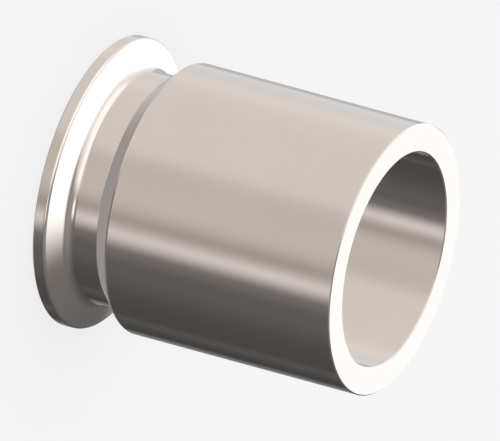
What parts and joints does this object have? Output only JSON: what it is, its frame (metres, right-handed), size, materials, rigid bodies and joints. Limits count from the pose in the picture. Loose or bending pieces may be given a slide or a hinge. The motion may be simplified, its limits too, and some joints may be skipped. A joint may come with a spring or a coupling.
{
  "type": "tank ferrule",
  "caption": "Heavy-walled weld-in tank ferrule: a hygienic clamp flange with a gasket groove, a short neck, a sloping shoulder and a thick plain weld end with a through bore.",
  "frame": {"origin": "centre of the clamp face, on the axis", "axes": "+Z along the axis, from the clamp face to the weld end; the part stands on its clamp face, and X and Y are any two directions across it"},
  "size_m": [0.0642, 0.0642, 0.0707],
  "materials": {
    "stainless_steel": "fine turned stainless steel, lightly polished"
  },
  "bodies": {
    "root": {"ferrule": "stainless_steel"}
  },
  "joints": []
}
